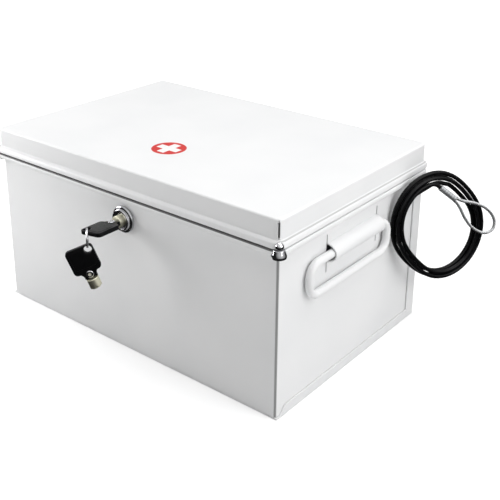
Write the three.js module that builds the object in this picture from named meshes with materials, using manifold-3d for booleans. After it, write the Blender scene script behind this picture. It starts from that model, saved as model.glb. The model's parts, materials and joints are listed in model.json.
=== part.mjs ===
// Lockable steel storage box with a hinged lid, bail handles, a tubular key lock and a tether cable.
// Millimetres. X runs to the box's right, Y to its back, Z up. The origin is the middle of its base.

import * as THREE from "three";
import { mergeVertices } from "three/addons/utils/BufferGeometryUtils.js";
import Module from "manifold-3d";

const wasm = await Module();
wasm.setup();

// Driving dimensions

const box = { width: 300, depth: 200, height: 160 };
const sheet = 1;
const seat = 0.3;
const foldRadius = 2.5;

const bead = { out: 5.5, height: 5.6 };
const lid = { depth: 22, clear: 1, rimHeight: 6, skirtOut: 2, rimOut: 5, edge: 1.6, seam: 1.2 };
const bodyTop = box.height - lid.depth;

const flange = { base: 8, back: 12, frontGap: 4, inner: 12, sideGap: 6 };

const hinge = {
  length: 240, knuckles: 5, radius: 3, pin: 1.5, standOff: 3.1, rise: 0.6, leaf: 1.2, bodyLeaf: 25, lidLeaf: 18,
  playAlong: 0.5, head: 0.9, headLength: 1.5,
};

const handle = { middle: -5.7, half: 34.8, slit: 1.2, slitLow: bodyTop - 42, slitHigh: bodyTop - 11.4 };
const tunnel = { z: bodyTop - 26, rise: 8.7, halfHeight: 6.6 };
const bail = {
  rod: 3.25, clear: 3.9, pivotZ: bodyTop - 25.5, drop: 25.6, bend: 10.5, span: 106.8, slide: 7.9, stub: 50,
};

const lock = {
  z: bodyTop - 21, bezel: 11, bezelThick: 2, barrel: 9.5, bore: 6.8, rotor: 6.5, nose: 5, rim: 8.8, inside: 16,
};
const lockNutSize = { corner: 13, thick: 4 };
const keyway = { outer: 5.1, post: 3.3, depth: 5, recess: 0.6 };
const cam = { reach: 25.8, width: 14, thick: 1.8, spigot: 4, stem: 1.9, play: 0.8 };
const washer = { radius: 6.5, thick: 1.2, screwHead: 4.5, headHeight: 2.2 };
const strike = { inset: 3.5, lip: 11, width: 14, thick: 1.4, foot: 16, play: 2 };

const key = {
  tube: 4.75, wall: 1.05, length: 8, head: 22, thick: 3.8, corner: 3.2, neck: 5.2, neckWide: 17, neckEnd: 10,
  bevel: 0.7, reach: 9.3,
};
const keyHole = { along: 7, across: 6.9, radius: 3.1 };
const tongue = { length: 12, width: 6, thick: 1.8, rivetAt: 4.1 };
const rivet = { shank: 2, bore: 1.2, flange: 3.1, lip: 0.5 };
const ring = { radius: 7.2, wire: 0.8, reach: 6.7, drop: 2.6 };
const keyRoll = THREE.MathUtils.degToRad(8);
const ringTurn = THREE.MathUtils.degToRad(-42.7);
const keyHang = THREE.MathUtils.degToRad(21);

const cap = {
  bell: 5.7, out: 1.8, above: 0.5, scallop: 1.7, knob: 3.2, knobRaise: 1.5, knobHeight: 4.4, knobOut: 3,
};

const cable = { radius: 1.8, gap: 0.7 };
const grommet = { fromBack: 18, z: bodyTop - 19, hole: 3.1, flange: 4.6, lip: 1.6 };
const stop = { radius: 4.5, length: 9, edge: 0.8 };
const coil = {
  out: 22.5, fromBack: 6.3, z: bodyTop - 45.5, turn: 20, outer: 48.2, oval: 7, turns: 3.86, start: 75, inward: 0.35,
  steps: 24, sides: 6,
};
const ferrule = { radius: 2.7, length: 17.5 };
const eye = { wire: 1.3, length: 46, width: 19.8 };

// Materials

const look = (color, metalness, roughness) => new THREE.MeshStandardMaterial({ color, metalness, roughness });
const whiteSteel = look(0xf2f2f2, 0, 0.4);
const chrome = look(0xd8d8da, 1, 0.15);
const plated = look(0xb9bbbd, 1, 0.35);
const nickel = look(0xb8b09a, 1, 0.3);
const blackPlastic = look(0x17181a, 0, 0.45);
const blackVinyl = look(0x141416, 0, 0.35);
const blackRubber = look(0x1d1d1d, 0, 0.8);
const wireRope = look(0x9a9c9e, 1, 0.45);

// Solid helpers

const toSolid = (geometry) => {
  const source = geometry.clone();
  for (const name of Object.keys(source.attributes)) {
    if (name !== "position") source.deleteAttribute(name);
  }
  const merged = mergeVertices(source, 1e-4);
  return new wasm.Manifold(new wasm.Mesh({
    numProp: 3,
    vertProperties: new Float32Array(merged.attributes.position.array),
    triVerts: new Uint32Array(merged.index.array),
  }));
};

const toGeometry = (solid) => {
  const mesh = solid.getMesh();
  const geometry = new THREE.BufferGeometry();
  geometry.setAttribute("position", new THREE.BufferAttribute(new Float32Array(mesh.vertProperties), 3));
  geometry.setIndex(new THREE.BufferAttribute(new Uint32Array(mesh.triVerts), 1));
  geometry.computeVertexNormals();
  return geometry;
};

const join = (...solids) => solids.reduce((sum, next) => sum.add(next));
const cut = (solid, ...tools) => tools.reduce((rest, tool) => rest.subtract(tool), solid);

const boxOf = (x0, x1, y0, y1, z0, z1) => {
  const geometry = new THREE.BoxGeometry(x1 - x0, y1 - y0, z1 - z0);
  geometry.translate((x0 + x1) / 2, (y0 + y1) / 2, (z0 + z1) / 2);
  return toSolid(geometry);
};

// A prism from a flat outline: "z" stands it up, "y" lays x and z on it, "x" lays y and z on it
const prism = (points, from, to, along = "z", holes = []) => {
  const shape = points instanceof THREE.Shape ? points
    : new THREE.Shape(points.map(([a, b]) => new THREE.Vector2(a, b)));
  shape.holes.push(...holes);
  const geometry = new THREE.ExtrudeGeometry(shape, { depth: to - from, bevelEnabled: false, curveSegments: 8 });
  geometry.translate(0, 0, from);
  if (along === "y") {
    geometry.rotateX(Math.PI / 2);
    geometry.translate(0, from + to, 0);
  }
  if (along === "x") {
    geometry.rotateX(Math.PI / 2);
    geometry.rotateZ(Math.PI / 2);
  }
  return toSolid(geometry);
};

// A turned piece: radius and distance pairs, its axis along x, y or z
const turned = (profile, along = "z", sides = 24) => {
  const geometry = new THREE.LatheGeometry(profile.map(([r, h]) => new THREE.Vector2(r, h)), sides);
  if (along === "z") geometry.rotateX(Math.PI / 2);
  if (along === "x") geometry.rotateZ(-Math.PI / 2);
  const solid = toSolid(geometry);
  return solid.volume() < 0 ? toSolid(flipped(geometry)) : solid;
};

const flipped = (geometry) => {
  const copy = geometry.clone();
  const index = copy.index.array;
  for (let i = 0; i < index.length; i += 3) [index[i], index[i + 1]] = [index[i + 1], index[i]];
  return copy;
};

const rod = (radius, from, to, along, sides = 24) =>
  turned([[0, from], [radius, from], [radius, to], [0, to]], along, sides);

const circlePoints = (radius, sides) => Array.from({ length: sides }, (_, i) => {
  const angle = (i / sides) * Math.PI * 2;
  return new THREE.Vector2(radius * Math.cos(angle), radius * Math.sin(angle));
});

// A round bar along a smooth line through the given points
const bar = (points, radius, sides, steps) => {
  const path = new THREE.CatmullRomCurve3(points, false, "centripetal");
  path.arcLengthDivisions = 2000;
  return new THREE.ExtrudeGeometry(new THREE.Shape(circlePoints(radius, sides)), {
    steps, extrudePath: path, bevelEnabled: false,
  });
};

// One corner-rounded rectangle at each level, skinned into a closed body
const cornerSteps = 3;
const loft = (levels, halfWidth, halfDepth) => {
  const positions = [];
  const index = [];
  const count = 4 * (cornerSteps + 1);
  for (const [z, offset] of levels) {
    const radius = Math.max(foldRadius + offset, 0.6);
    for (let corner = 0; corner < 4; corner += 1) {
      const signX = corner === 0 || corner === 3 ? 1 : -1;
      const signY = corner < 2 ? 1 : -1;
      for (let step = 0; step <= cornerSteps; step += 1) {
        const angle = (corner + step / cornerSteps) * (Math.PI / 2);
        positions.push(
          signX * (halfWidth + offset - radius) + radius * Math.cos(angle),
          signY * (halfDepth + offset - radius) + radius * Math.sin(angle),
          z,
        );
      }
    }
  }
  for (let level = 0; level + 1 < levels.length; level += 1) {
    for (let i = 0; i < count; i += 1) {
      const a = level * count + i;
      const b = level * count + ((i + 1) % count);
      index.push(a, b, b + count, a, b + count, a + count);
    }
  }
  const top = (levels.length - 1) * count;
  for (let i = 1; i + 1 < count; i += 1) {
    index.push(0, i + 1, i);
    index.push(top, top + i, top + i + 1);
  }
  const geometry = new THREE.BufferGeometry();
  geometry.setAttribute("position", new THREE.Float32BufferAttribute(positions, 3));
  geometry.setIndex(index);
  return toSolid(geometry);
};

const group = new THREE.Group();
const place = (parent, name, shape, material) => {
  const geometry = shape.isBufferGeometry ? shape : toGeometry(shape);
  const mesh = new THREE.Mesh(geometry, material);
  mesh.name = name;
  parent.add(mesh);
  return mesh;
};

const halfWidth = box.width / 2;
const halfDepth = box.depth / 2;
const sides = [["right", 1], ["left", -1]];

const overall = box.width + box.depth + box.height;
const lidBottom = bodyTop + lid.clear;
const rimTop = lidBottom + lid.rimHeight;
const beadLow = bodyTop - bead.height;

// A box between two distances from the middle plane, on the right or the left side
const sideBox = (sign, near, far, y0, y1, z0, z1) => boxOf(
  Math.min(sign * near, sign * far), Math.max(sign * near, sign * far), y0, y1, z0, z1,
);

// Body: one folded wrap of front and sides, with its rim joggled out into a bead

const beadOuter = [
  [beadLow, 0], [beadLow + 0.5, 2.6], [beadLow + 1.3, bead.out - 0.6], [beadLow + 2.2, bead.out],
  [bodyTop - 1.2, bead.out], [bodyTop - 0.4, bead.out - 0.4], [bodyTop, bead.out - 1.2],
];
const beadInner = [
  [beadLow + 0.8, -sheet], [beadLow + 1.3, 0.8], [beadLow + 1.9, bead.out - sheet - 0.9],
  [beadLow + 2.6, bead.out - sheet], [bodyTop - 1.6, bead.out - sheet], [bodyTop + 1, bead.out - 3.4],
];
const wrapBottom = sheet + seat;
const tunnelEnds = [handle.middle - handle.half + handle.slit / 2, handle.middle + handle.half - handle.slit / 2];

const handleSlit = (sign, y) => sideBox(sign, halfWidth - 3 * sheet, halfWidth + sheet,
  y - handle.slit / 2, y + handle.slit / 2, handle.slitLow, handle.slitHigh);

// The strip between the slits is pressed outward into a half-round tunnel for the bail's stubs
const archSteps = 10;
const archPoints = (sign, grow) => Array.from({ length: archSteps + 1 }, (_, i) => {
  const angle = (i / archSteps - 0.5) * Math.PI;
  return [
    sign * (halfWidth - sheet + (tunnel.rise + grow) * Math.cos(angle)),
    tunnel.z + (tunnel.halfHeight + grow) * Math.sin(angle),
  ];
});

const bodyWrap = () => {
  const outer = loft([[wrapBottom, 0], ...beadOuter], halfWidth, halfDepth);
  const inner = loft([[wrapBottom - 1, -sheet], ...beadInner], halfWidth, halfDepth);
  const behind = boxOf(-overall, overall, halfDepth - sheet - seat, overall, -overall, overall);
  let wall = cut(outer, inner, behind);
  for (const [, sign] of sides) {
    const [y0, y1] = tunnelEnds;
    const skin = prism(archPoints(sign, sheet), y0, y1, "y");
    const open = sign * (halfWidth - 4 * sheet);
    const hollow = prism([
      ...archPoints(sign, 0), [open, tunnel.z + tunnel.halfHeight], [open, tunnel.z - tunnel.halfHeight],
    ], y0 - 0.01, y1 + 0.01, "y");
    const slits = [handle.middle - handle.half, handle.middle + handle.half].map((y) => handleSlit(sign, y));
    wall = cut(wall.add(skin), hollow, ...slits);
  }
  const lockHole = rod(lock.barrel + seat, -halfDepth - 2 * sheet, -halfDepth + 3 * sheet, "y")
    .translate([0, 0, lock.z]);
  const cableHole = rod(grommet.hole + seat, halfWidth - 3 * sheet, halfWidth + 2 * sheet, "x", 16)
    .translate([0, grommetY, grommet.z]);
  return cut(wall, lockHole, cableHole);
};
const grommetY = halfDepth - grommet.fromBack;
place(group, "body_wrap", bodyWrap(), whiteSteel);

// Base and back: one folded sheet whose flanges lap outside the wrap's side panels

const baseBackSheet = () => {
  const outX = halfWidth + seat + sheet;
  const flangeTop = beadLow - seat;
  const base = boxOf(-outX, outX, -halfDepth, halfDepth, 0, sheet);
  const back = boxOf(-outX, outX, halfDepth - sheet, halfDepth, 0, bodyTop);
  const frontLip = boxOf(-halfWidth + flange.sideGap, halfWidth - flange.sideGap, -halfDepth + sheet + seat,
    -halfDepth + 2 * sheet + seat, 0, flange.inner);
  const slant = flange.base - sheet;
  const frontY = -halfDepth + flange.frontGap;
  const sideOutline = [
    [frontY, 0], [halfDepth, 0], [halfDepth, flangeTop], [halfDepth - flange.back, flangeTop],
    [halfDepth - flange.back, flange.base], [frontY + slant, flange.base],
  ];
  const flanges = sides.map(([, sign]) => prism(sideOutline,
    Math.min(sign * (halfWidth + seat), sign * outX), Math.max(sign * (halfWidth + seat), sign * outX), "x"));
  const shoulders = sides.map(([, sign]) => sideBox(sign, halfWidth + 0.2, outX + 1,
    halfDepth - sheet - 1, halfDepth + 1, flangeTop, bodyTop + 1));
  return cut(join(base, back, frontLip, ...flanges), ...shoulders);
};
place(group, "base_back_sheet", baseBackSheet(), whiteSteel);

// Lid: a shallow pan with a flared rim and open folded corners

const rimFlare = [
  [rimTop - 2.6, lid.rimOut], [rimTop - 1.5, lid.rimOut - 1], [rimTop - 0.6, lid.skirtOut + 0.6],
  [rimTop, lid.skirtOut],
];
const lidShell = () => {
  const outer = loft([
    [lidBottom, lid.rimOut], ...rimFlare,
    [box.height - lid.edge, lid.skirtOut], [box.height - 0.5 * lid.edge, lid.skirtOut - 0.2 * lid.edge],
    [box.height - 0.15 * lid.edge, lid.skirtOut - 0.6 * lid.edge], [box.height, lid.skirtOut - lid.edge],
  ], halfWidth, halfDepth);
  const inner = loft([
    [lidBottom - 1, lid.rimOut - sheet], ...rimFlare.map(([z, offset]) => [z - 0.6, offset - sheet]),
    [box.height - sheet, lid.skirtOut - sheet],
  ], halfWidth, halfDepth);
  const seams = [];
  const slot = boxOf(-lid.seam / 2, lid.seam / 2, -3 * sheet, 3 * sheet, rimTop + 1, box.height - lid.edge - 1);
  const inset = (1 - Math.SQRT1_2) * (foldRadius + lid.skirtOut) - lid.skirtOut;
  for (const [, signX] of sides) {
    for (const signY of [1, -1]) {
      seams.push(slot.rotate([0, 0, -45 * signX * signY])
        .translate([signX * (halfWidth - inset), signY * (halfDepth - inset), 0]));
    }
  }
  const rearNotch = boxOf(-hinge.length / 2 - 2, hinge.length / 2 + 2, halfDepth + lid.skirtOut, overall,
    lidBottom - 2, rimTop + 1);
  return cut(outer, inner, rearNotch, ...seams);
};
place(group, "lid_shell", lidShell(), whiteSteel);

// Strike inside the lid: a hanging plate whose lip the lock's cam hooks over

const strikeFront = -halfDepth + strike.inset;
const strikeBottom = lock.z + cam.reach - cam.thick - strike.play - strike.thick;
const lidStrike = () => {
  const top = box.height - sheet - seat;
  const half = strike.width / 2;
  return join(
    boxOf(-half, half, strikeFront, strikeFront + strike.thick, strikeBottom, top),
    boxOf(-half, half, strikeFront, strikeFront + strike.foot, top - strike.thick, top),
    boxOf(-half, half, strikeFront, strikeFront + strike.lip, strikeBottom, strikeBottom + strike.thick),
  );
};
place(group, "lid_strike", lidStrike(), plated);

// Continuous hinge: interleaved knuckles curled from two leaves around one pin

const hingeAxis = { y: halfDepth + lid.skirtOut + hinge.standOff + seat, z: bodyTop + hinge.rise };

const hingeLeaf = (first, plateY, plateLow, plateHigh, webLow, webHigh) => {
  const pitch = hinge.length / hinge.knuckles;
  const half = hinge.length / 2;
  const pieces = [boxOf(-half, half, plateY, plateY + hinge.leaf, plateLow, plateHigh)];
  for (let i = first; i < hinge.knuckles; i += 2) {
    const x0 = -half + i * pitch + (i ? hinge.playAlong / 2 : 0);
    const x1 = -half + (i + 1) * pitch - (i + 1 < hinge.knuckles ? hinge.playAlong / 2 : 0);
    pieces.push(boxOf(x0, x1, plateY, hingeAxis.y, webLow, webHigh));
    pieces.push(rod(hinge.radius, x0, x1, "x", 16).translate([0, hingeAxis.y, hingeAxis.z]));
  }
  const bore = rod(hinge.pin + seat, -half - 1, half + 1, "x", 16).translate([0, hingeAxis.y, hingeAxis.z]);
  return cut(join(...pieces), bore);
};
const webOut = hinge.radius - hinge.leaf;
const lidLeafLow = hingeAxis.z + hinge.radius + seat;
place(group, "hinge_leaf_body", hingeLeaf(0, halfDepth + seat, hingeAxis.z - hinge.bodyLeaf, hingeAxis.z - webOut,
  hingeAxis.z - hinge.radius, hingeAxis.z - webOut), plated);
place(group, "hinge_leaf_lid", hingeLeaf(1, halfDepth + lid.skirtOut + seat, lidLeafLow, hingeAxis.z + hinge.lidLeaf,
  hingeAxis.z + webOut, lidLeafLow + hinge.leaf), plated);

const hingePin = () => {
  const half = hinge.length / 2;
  const head = hinge.pin + hinge.head;
  const end = half + seat + hinge.headLength;
  return turned([
    [0, -end], [head, -end], [head, -half - seat], [hinge.pin, -half - seat],
    [hinge.pin, half + seat], [head, half + seat], [head, end], [0, end],
  ], "x", 16).translate([0, hingeAxis.y, hingeAxis.z]);
};
place(group, "hinge_pin", hingePin(), plated);

// Bright corner caps: a small knob on the lid's rim over a scalloped bell on the body's bead

const cornerCaps = () => {
  const grown = (levels) => levels.map(([z, offset]) => [z, offset + seat]);
  const beadCore = loft(grown([[beadLow - 20, 0], ...beadOuter, [bodyTop + 5, bead.out - 1.2]]), halfWidth, halfDepth);
  const rimCore = loft(grown([
    [lidBottom - 5, lid.rimOut], ...rimFlare, [box.height + 5, lid.skirtOut],
  ]), halfWidth, halfDepth);
  const bellTop = bodyTop + cap.above;
  const bell = turned([
    [0, beadLow], [0.94 * cap.bell, beadLow], [cap.bell, beadLow + 1], [0.97 * cap.bell, beadLow + 2.1],
    [0.86 * cap.bell, beadLow + 3.8], [0.78 * cap.bell, beadLow + 5.2], [0.72 * cap.bell, bellTop], [0, bellTop],
  ], "z", 28);
  const knobLow = lidBottom + cap.knobRaise;
  const knobTop = knobLow + cap.knobHeight;
  const knob = turned([
    [0, knobLow], [0.92 * cap.knob, knobLow], [cap.knob, knobLow + 0.7], [0.94 * cap.knob, knobLow + 1.9],
    [0.7 * cap.knob, knobTop - 1.3], [0.35 * cap.knob, knobTop - 0.3], [0, knobTop],
  ], "z", 20);
  for (const [side, sign] of sides) {
    const x = sign * (halfWidth + cap.out);
    const y = -halfDepth - cap.out;
    const frontScallop = rod(cap.scallop, y - 12, y + 4, "y", 16)
      .translate([x - sign * 0.55 * cap.bell, 0, beadLow]);
    const sideScallop = rod(cap.scallop, -12, 12, "x", 16).translate([x + sign * 8, y + 0.55 * cap.bell, beadLow]);
    place(group, `body_corner_cap_${side}`,
      cut(bell.translate([x, y, 0]), beadCore, frontScallop, sideScallop), chrome);
    const knobX = sign * (halfWidth + cap.knobOut);
    place(group, `lid_corner_cap_${side}`,
      cut(knob.translate([knobX, -halfDepth - cap.knobOut, 0]), rimCore), chrome);
  }
};
cornerCaps();

// Bail handles: one bent rod each, open between its two stubs inside the tunnel

const bailSteps = 44;
const bailRod = (sign) => {
  const near = handle.middle - bail.span / 2 - bail.slide;
  const far = near + bail.span;
  const high = bail.pivotZ;
  const low = high - bail.drop;
  const points = [];
  const push = (y, z) => points.push(new THREE.Vector3(sign * (halfWidth + bail.clear), y, z));
  const corner = (y, z, from) => {
    for (let i = 0; i <= 4; i += 1) {
      const angle = from + (i / 4) * (Math.PI / 2);
      push(y + bail.bend * Math.cos(angle), z + bail.bend * Math.sin(angle));
    }
  };
  push(near + bail.stub, high);
  push(near + bail.stub / 2, high);
  corner(near + bail.bend, high - bail.bend, Math.PI / 2);
  corner(near + bail.bend, low + bail.bend, Math.PI);
  push((near + far) / 2, low);
  corner(far - bail.bend, low + bail.bend, -Math.PI / 2);
  corner(far - bail.bend, high - bail.bend, 0);
  push(far - bail.stub / 2, high);
  push(far - bail.stub, high);
  return bar(points, bail.rod, 10, bailSteps);
};
for (const [side, sign] of sides) place(group, `bail_${side}`, bailRod(sign), whiteSteel);

// Lock: flanged barrel, nut, turning plug with a ring-shaped keyway, hooked cam, washer and screw

const noseY = -halfDepth - lock.nose;
const flangeY = -halfDepth - seat - lock.bezelThick;
const backY = -halfDepth + lock.inside;
const lockBody = () => turned([
  [lock.bore, noseY], [lock.rim - 0.5, noseY], [lock.rim, noseY + 0.6], [lock.rim, flangeY - 0.7],
  [lock.bezel - 0.9, flangeY - 0.4], [lock.bezel, flangeY + 0.5],
  [lock.bezel, -halfDepth - seat], [lock.barrel, -halfDepth - seat], [lock.barrel, backY], [lock.bore, backY],
  [lock.bore, noseY],
], "y", 32).translate([0, 0, lock.z]);
place(group, "lock_barrel", lockBody(), chrome);

const lockNut = () => {
  const hexagon = new THREE.Shape(circlePoints(lockNutSize.corner, 6));
  const hole = new THREE.Path(circlePoints(lock.barrel + seat, 24).reverse());
  const y0 = -halfDepth + sheet + seat;
  return prism(hexagon, y0, y0 + lockNutSize.thick, "y", [hole]).translate([0, 0, lock.z]);
};
place(group, "lock_nut", lockNut(), plated);

const camY = backY + 0.7;
const lockPlug = () => {
  const face = noseY + keyway.recess;
  const floor = face + keyway.depth;
  const end = camY + cam.thick - seat;
  return turned([
    [0, face + 0.5], [keyway.post, face + 0.5], [keyway.post, floor], [keyway.outer, floor], [keyway.outer, face],
    [lock.rotor, face], [lock.rotor, camY - seat], [cam.spigot, camY - seat], [cam.spigot, end],
    [cam.stem, end], [cam.stem, camY - 4], [0, camY - 4],
  ], "y").translate([0, 0, lock.z]);
};
place(group, "lock_plug", lockPlug(), chrome);

const lockCam = () => {
  const half = cam.width / 2;
  const outline = new THREE.Shape();
  outline.absarc(0, 0, half + 1.5, Math.PI * 0.35, Math.PI * 1.65, false);
  outline.lineTo(cam.reach, -half);
  outline.lineTo(cam.reach, half);
  const eyeHole = new THREE.Path(circlePoints(cam.spigot + seat, 20).reverse());
  const blade = prism(outline, camY, camY + cam.thick, "y", [eyeHole]);
  const hook = boxOf(cam.reach - cam.thick, cam.reach, strikeFront + strike.thick + cam.play, camY + cam.thick,
    -half, half);
  return blade.add(hook).translate([0, 0, lock.z]);
};
place(group, "lock_cam", lockCam(), plated);

const camScrew = () => {
  const y = camY + cam.thick + seat;
  const under = y + washer.thick;
  const shank = cam.stem - 0.4;
  return turned([
    [0, under + washer.headHeight], [0.67 * washer.screwHead, under + washer.headHeight],
    [washer.screwHead, under + 0.45 * washer.headHeight], [washer.screwHead, under], [washer.radius, under],
    [washer.radius, y], [shank, y], [shank, camY - 3.2], [0, camY - 3.2],
  ], "y").translate([0, 0, lock.z]);
};
place(group, "cam_screw", camScrew(), plated);

// Keys: each a steel tube with a tongue riveted into a moulded head; own frame has its tube along -Z

const tubeTop = -key.head / 2 - key.neck - seat;
const rivetZ = tubeTop + tongue.rivetAt;

const keyStem = () => {
  const inner = key.tube - key.wall;
  const end = tubeTop - key.length;
  const tube = turned([
    [0, tubeTop], [key.tube, tubeTop], [key.tube, end], [inner, end], [inner, tubeTop - 3], [0, tubeTop - 3],
  ]);
  const blade = boxOf(-tongue.width / 2, tongue.width / 2, -tongue.thick / 2, tongue.thick / 2, tubeTop - 1,
    tubeTop + tongue.length);
  const rivetHole = rod(rivet.shank + seat, -key.thick, key.thick, "y", 16).translate([0, 0, rivetZ]);
  return cut(tube.add(blade), rivetHole);
};

const keyHead = () => {
  const half = key.head / 2 - key.bevel;
  const corner = key.corner - key.bevel;
  const neckEnd = -half - key.neck;
  const shape = new THREE.Shape();
  shape.absarc(half - corner, half - corner, corner, 0, Math.PI / 2, false);
  shape.absarc(-half + corner, half - corner, corner, Math.PI / 2, Math.PI, false);
  shape.absarc(-half + corner, -half + corner, corner, Math.PI, Math.PI * 1.4, false);
  shape.lineTo(-key.neckWide / 2 + 2.5, -half - 0.2);
  shape.lineTo(-key.neckEnd / 2 + key.bevel, neckEnd + 1);
  shape.lineTo(-key.neckEnd / 2 + key.bevel, neckEnd);
  shape.lineTo(key.neckEnd / 2 - key.bevel, neckEnd);
  shape.lineTo(key.neckEnd / 2 - key.bevel, neckEnd + 1);
  shape.lineTo(key.neckWide / 2 - 2.5, -half - 0.2);
  shape.absarc(half - corner, -half + corner, corner, Math.PI * 1.6, Math.PI * 2, false);
  const plate = new THREE.ExtrudeGeometry(shape, {
    depth: key.thick - 2 * key.bevel, bevelThickness: key.bevel, bevelSize: key.bevel, bevelSegments: 2,
    curveSegments: 4,
  });
  plate.translate(0, 0, -key.thick / 2 + key.bevel);
  plate.rotateX(Math.PI / 2);
  const pocket = boxOf(-tongue.width / 2 - seat, tongue.width / 2 + seat, -tongue.thick / 2 - seat,
    tongue.thick / 2 + seat, tubeTop - 1, tubeTop + tongue.length + seat);
  const rivetHole = rod(rivet.shank + seat, -key.thick, key.thick, "y", 16).translate([0, 0, rivetZ]);
  const ringHole = rod(keyHole.radius, -key.thick, key.thick, "y", 16)
    .translate([keyHole.across, 0, keyHole.along]);
  return cut(toSolid(plate), pocket, rivetHole, ringHole);
};

const keyRivet = () => {
  const half = key.thick / 2 + seat;
  return turned([
    [rivet.bore, -half - rivet.lip], [rivet.flange, -half - rivet.lip], [rivet.flange, -half], [rivet.shank, -half],
    [rivet.shank, half], [rivet.flange, half], [rivet.flange, half + rivet.lip], [rivet.bore, half + rivet.lip],
    [rivet.bore, -half - rivet.lip],
  ], "y", 16).translate([0, 0, rivetZ]);
};

const addKey = (name) => {
  const unit = new THREE.Group();
  place(unit, `${name}_stem`, keyStem(), nickel);
  place(unit, `${name}_head`, keyHead(), blackPlastic);
  place(unit, `${name}_rivet`, keyRivet(), chrome);
  group.add(unit);
  return unit;
};

// The first key lies flat in the lock, its ring hole at the far left corner
const firstKey = addKey("key_1");
firstKey.rotation.set(Math.PI / 2, 0, Math.PI + keyRoll);
firstKey.position.set(0, -halfDepth - key.reach - key.neck - key.head / 2, lock.z);

// The ring stands upright through that hole, and the second key hangs from its lowest point
const along = new THREE.Vector3(Math.cos(ringTurn), Math.sin(ringTurn), 0);
const across = new THREE.Vector3(-along.y, along.x, 0);
const up = new THREE.Vector3(0, 0, 1);

group.updateMatrixWorld(true);
const ringHole = firstKey.localToWorld(new THREE.Vector3(keyHole.across, 0, keyHole.along));
const ringMiddle = ringHole.clone().addScaledVector(along, ring.reach).addScaledVector(up, -ring.drop);
const keyRing = () => {
  const geometry = new THREE.TorusGeometry(ring.radius, ring.wire, 8, 32);
  geometry.applyMatrix4(new THREE.Matrix4().makeBasis(along, up, across.clone().negate()));
  geometry.translate(...ringMiddle.toArray());
  return toSolid(geometry);
};
place(group, "key_ring", keyRing(), chrome);

const hangPoint = ringMiddle.clone().addScaledVector(up, -ring.radius);
const wireBow = ring.radius - Math.sqrt(ring.radius ** 2 - (key.thick / 2) ** 2);
const hangSag = keyHole.radius - ring.wire - wireBow - seat;
const secondKey = addKey("key_2");
const hangTurn = new THREE.Matrix4().makeBasis(across, along.clone().negate(), up)
  .multiply(new THREE.Matrix4().makeRotationY(-keyHang));
secondKey.quaternion.setFromRotationMatrix(hangTurn);
const hangOffset = new THREE.Vector3(keyHole.across, 0, keyHole.along).applyMatrix4(hangTurn);
secondKey.position.copy(hangPoint).sub(hangOffset).addScaledVector(up, -hangSag);

// Cable: a lead out of the side panel, a hand-wound coil of two layers, a crimped ferrule and a bare eye

const coilTurn = THREE.MathUtils.degToRad(coil.turn);
const coilRight = new THREE.Vector3(Math.sin(coilTurn), Math.cos(coilTurn), 0);
const coilOut = new THREE.Vector3(Math.cos(coilTurn), -Math.sin(coilTurn), 0);
const coilMiddle = new THREE.Vector3(halfWidth + coil.out, halfDepth - coil.fromBack, coil.z);
const coilPoint = (u, v, w) => coilMiddle.clone()
  .addScaledVector(coilRight, u).addScaledVector(up, v).addScaledVector(coilOut, w);
const pitch = 2 * cable.radius + cable.gap;

const coilLine = () => {
  const total = coil.turns * Math.PI * 2;
  const middle = total / 2;
  const count = Math.round(coil.turns * coil.steps);
  const points = [];
  for (let i = 0; i <= count; i += 1) {
    const turn = (i / count) * total;
    const climb = Math.min(Math.max((turn - middle) / Math.PI + 0.5, 0), 1);
    const angle = THREE.MathUtils.degToRad(coil.start) - turn;
    const radius = coil.outer - pitch * (Math.abs(turn - middle) / (Math.PI * 2)) - coil.oval * Math.sin(2 * angle);
    points.push(coilPoint(radius * Math.cos(angle), radius * Math.sin(angle), pitch * (climb - 0.5)));
  }
  return points;
};

const leastGap = (points, skip) => {
  let least = Infinity;
  for (let i = 0; i < points.length; i += 1) {
    for (let j = i + skip; j < points.length; j += 1) least = Math.min(least, points[i].distanceTo(points[j]));
  }
  return least - 2 * cable.radius;
};

const tail = [[-18.4, 41, 2.3], [-13, 41.5, 2.7]];
const ferruleStart = coilPoint(-5.5, 37.6, 4.2);
const ferruleWay = coilPoint(0.8, -0.7, 0.33).sub(coilMiddle).normalize();

// Both ends run straight for one cable diameter, square to the lead and to the ferrule
const windings = coilLine();
const startAngle = THREE.MathUtils.degToRad(coil.start);
const backWay = windings[0].clone().sub(windings[1]).normalize()
  .addScaledVector(coilPoint(Math.cos(startAngle), Math.sin(startAngle), 0).sub(coilPoint(0, 0, 0)), -coil.inward)
  .addScaledVector(coilOut, -coil.inward).normalize();
const coilStart = windings[0].clone().addScaledVector(backWay, 2 * cable.radius);
const coilPoints = [
  coilStart, ...windings, ...tail.map(([u, v, w]) => coilPoint(u, v, w)),
  ferruleStart.clone().addScaledVector(ferruleWay, -seat - 2 * cable.radius),
  ferruleStart.clone().addScaledVector(ferruleWay, -seat),
];
const coilPath = new THREE.CatmullRomCurve3(coilPoints, false, "centripetal");
coilPath.arcLengthDivisions = 4000;
const coilSteps = Math.round(coil.turns * coil.steps) + 8;
console.log("coil length", coilPath.getLength().toFixed(1), "least gap to itself",
  leastGap(coilPath.getSpacedPoints(coilSteps * 4), coil.steps * 2).toFixed(2));
place(group, "cable_coil", bar(coilPoints, cable.radius, coil.sides, coilSteps), blackVinyl);

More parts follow.
